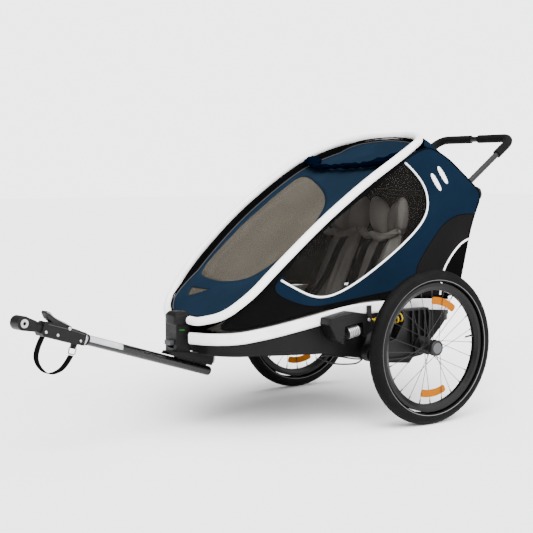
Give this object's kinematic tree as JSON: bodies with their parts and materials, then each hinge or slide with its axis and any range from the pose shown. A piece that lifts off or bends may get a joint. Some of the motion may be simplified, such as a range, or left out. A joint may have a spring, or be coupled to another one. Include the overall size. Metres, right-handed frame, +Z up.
{
  "type": "child bicycle trailer",
  "caption": "Enclosed two-seat child bicycle trailer on sprung spoked wheels, with a folding hooped fabric canopy, push handle, foot brake and an offset tow arm with a hitch head.",
  "frame": {"origin": "on the ground under the middle of the overall box", "axes": "+X forward along the direction of travel, +Y to the left, +Z up"},
  "size_m": [1.8682, 0.8, 0.948],
  "materials": {
    "tyre": "matt black rubber with a fine tread",
    "rim": "satin black anodised",
    "spoke": "dark bright steel",
    "hub": "grey satin",
    "button": "grey moulded",
    "reflector": "amber, glossy",
    "axle": "turned steel",
    "swing_arm": "black cast, satin",
    "rail": "white satin powder coat",
    "hoop": "white woven sleeve over tube",
    "tub": "black moulded, slight sheen",
    "housing": "black moulded",
    "dial": "silver ribbed",
    "spring": "yellow powder coat",
    "receiver": "black moulded",
    "release_tab": "grey moulded",
    "clip": "bright steel",
    "side_cloth": "dark petrol-blue woven",
    "front_cloth": "blue woven",
    "rear_cloth": "dark grey woven",
    "film": "smoked flexible film",
    "seat_cloth": "grey quilted",
    "bare_tube": "dark grey anodised",
    "grip": "black foam sleeve",
    "tow_tube": "black gloss",
    "hitch_plastic": "black moulded",
    "lever": "grey moulded",
    "washer": "bright steel",
    "webbing": "black woven webbing",
    "cable": "black cable housing"
  },
  "bodies": {
    "chassis": {"lower_rail": "rail", "floor_tub": "tub", "suspension_beam": "bare_tube", "front_receiver": "receiver", "retaining_pin": "clip", "suspension_housing_left": "housing", "suspension_housing_right": "housing", "spring_left": "spring", "spring_right": "spring", "rear_latches": "housing", "brake_bracket": "housing", "brake_cable": "cable", "seat_base": "seat_cloth", "seat_back_left": "seat_cloth", "seat_back_right": "seat_cloth", "side_panel_left": "side_cloth", "side_panel_right": "side_cloth", "side_window_left": "film", "side_window_right": "film", "hoop_pin": "axle"},
    "canopy": {"hoop": "hoop", "canopy_bow": "bare_tube", "corner_hinges": "hitch_plastic", "front_cover": "front_cloth", "front_window": "film", "sunshade_roll": "side_cloth", "hood": "rear_cloth"},
    "rear_frame": {"rear_uprights": "bare_tube", "rear_panel": "rear_cloth"},
    "push_handle": {"handlebar": "bare_tube", "handle_grips": "grip"},
    "receiver_catch": {"receiver_button": "release_tab"},
    "pedal": {"brake_pedal": "lever"},
    "tow_arm": {"tow_tube": "tow_tube", "tow_tube_plug": "hitch_plastic", "tow_saddle": "hitch_plastic", "hitch_body": "hitch_plastic", "d_ring": "clip", "safety_strap": "webbing"},
    "hitch_swivel": {"hitch_head": "hitch_plastic", "hitch_washers": "washer"},
    "hitch_lock": {"hitch_lever": "lever"},
    "trailing_arm_left": {"swing_arm_left": "swing_arm", "axle_left": "axle"},
    "wheel_left": {"hub_left": "hub", "rim_left": "rim", "tyre_left": "tyre", "spokes_left": "spoke", "spoke_reflectors_left": "reflector"},
    "release_left": {"wheel_button_left": "button"},
    "dial_left": {"preload_dial_left": "dial"},
    "trailing_arm_right": {"swing_arm_right": "swing_arm", "axle_right": "axle"},
    "wheel_right": {"hub_right": "hub", "rim_right": "rim", "tyre_right": "tyre", "spokes_right": "spoke", "spoke_reflectors_right": "reflector"},
    "release_right": {"wheel_button_right": "button"},
    "dial_right": {"preload_dial_right": "dial"}
  },
  "joints": [
    {"name": "canopy_fold", "type": "hinge", "parent": "chassis", "child": "canopy", "pos_m": [0.328, 0, 0.354], "axis": [0, -1, 0], "range_deg": [0, 18.5], "deforming": ["side_panel_left", "side_panel_right", "side_window_left", "side_window_right", "seat_back_left", "seat_back_right"]},
    {"name": "rear_frame_fold", "type": "hinge", "parent": "canopy", "child": "rear_frame", "pos_m": [-0.656, 0, 0.735], "axis": [0, -1, 0], "range_deg": [0, 57.3], "deforming": ["rear_panel"]},
    {"name": "handle_angle", "type": "hinge", "parent": "canopy", "child": "push_handle", "pos_m": [-0.656, 0, 0.735], "axis": [0, -1, 0], "range_deg": [-40, 30]},
    {"name": "brake_pedal", "type": "hinge", "parent": "chassis", "child": "pedal", "pos_m": [-0.602, 0, 0.352], "axis": [0, -1, 0], "range_deg": [0, 20]},
    {"name": "receiver_button", "type": "slide", "parent": "chassis", "child": "receiver_catch", "axis": [-1, 0, 0], "range_m": [0, 0.006], "stiffness_N_per_m": 400, "springref_m": -0.004},
    {"name": "tow_arm_release", "type": "slide", "parent": "chassis", "child": "tow_arm", "axis": [0.931, 0.1945, 0.309], "range_m": [0, 0.2]},
    {"name": "hitch_roll", "type": "hinge", "parent": "tow_arm", "child": "hitch_swivel", "pos_m": [0.84512, 0.12642, 0.38186], "axis": [0.931, 0.1945, 0.309], "range_deg": [-90, 90]},
    {"name": "hitch_lever", "type": "hinge", "parent": "tow_arm", "child": "hitch_lock", "pos_m": [0.76148, 0.10894, 0.37302], "axis": [0.2045, -0.9789, 0], "range_deg": [0, 50]},
    {"name": "suspension_left", "type": "hinge", "parent": "chassis", "child": "trailing_arm_left", "pos_m": [-0.171, 0, 0.24], "axis": [0, 1, 0], "range_deg": [0, 10], "stiffness_Nm_per_rad": 220, "springref_deg": -14.32, "deforming": ["spring_left"]},
    {"name": "wheel_spin_left", "type": "hinge", "parent": "trailing_arm_left", "child": "wheel_left", "pos_m": [-0.376, 0.37, 0.25], "axis": [0, 1, 0], "continuous": true},
    {"name": "wheel_button_left", "type": "slide", "parent": "trailing_arm_left", "child": "release_left", "axis": [0, -1, 0], "range_m": [0, 0.0035], "stiffness_N_per_m": 400, "springref_m": -0.002},
    {"name": "preload_dial_left", "type": "hinge", "parent": "chassis", "child": "dial_left", "pos_m": [-0.09618, 0.313, 0.31638], "axis": [-0.985, 0, 0.1724], "range_deg": [0, 270]},
    {"name": "suspension_right", "type": "hinge", "parent": "chassis", "child": "trailing_arm_right", "pos_m": [-0.171, 0, 0.24], "axis": [0, 1, 0], "range_deg": [0, 10], "stiffness_Nm_per_rad": 220, "springref_deg": -14.32, "deforming": ["spring_right"]},
    {"name": "wheel_spin_right", "type": "hinge", "parent": "trailing_arm_right", "child": "wheel_right", "pos_m": [-0.376, -0.37, 0.25], "axis": [0, 1, 0], "continuous": true},
    {"name": "wheel_button_right", "type": "slide", "parent": "trailing_arm_right", "child": "release_right", "axis": [0, 1, 0], "range_m": [0, 0.0035], "stiffness_N_per_m": 400, "springref_m": -0.002},
    {"name": "preload_dial_right", "type": "hinge", "parent": "chassis", "child": "dial_right", "pos_m": [-0.09618, -0.313, 0.31638], "axis": [-0.985, 0, 0.1724], "range_deg": [0, 270]}
  ],
  "couplings": [
    {"joint": "rear_frame_fold", "follows": "canopy_fold", "ratio": 3.095}
  ]
}
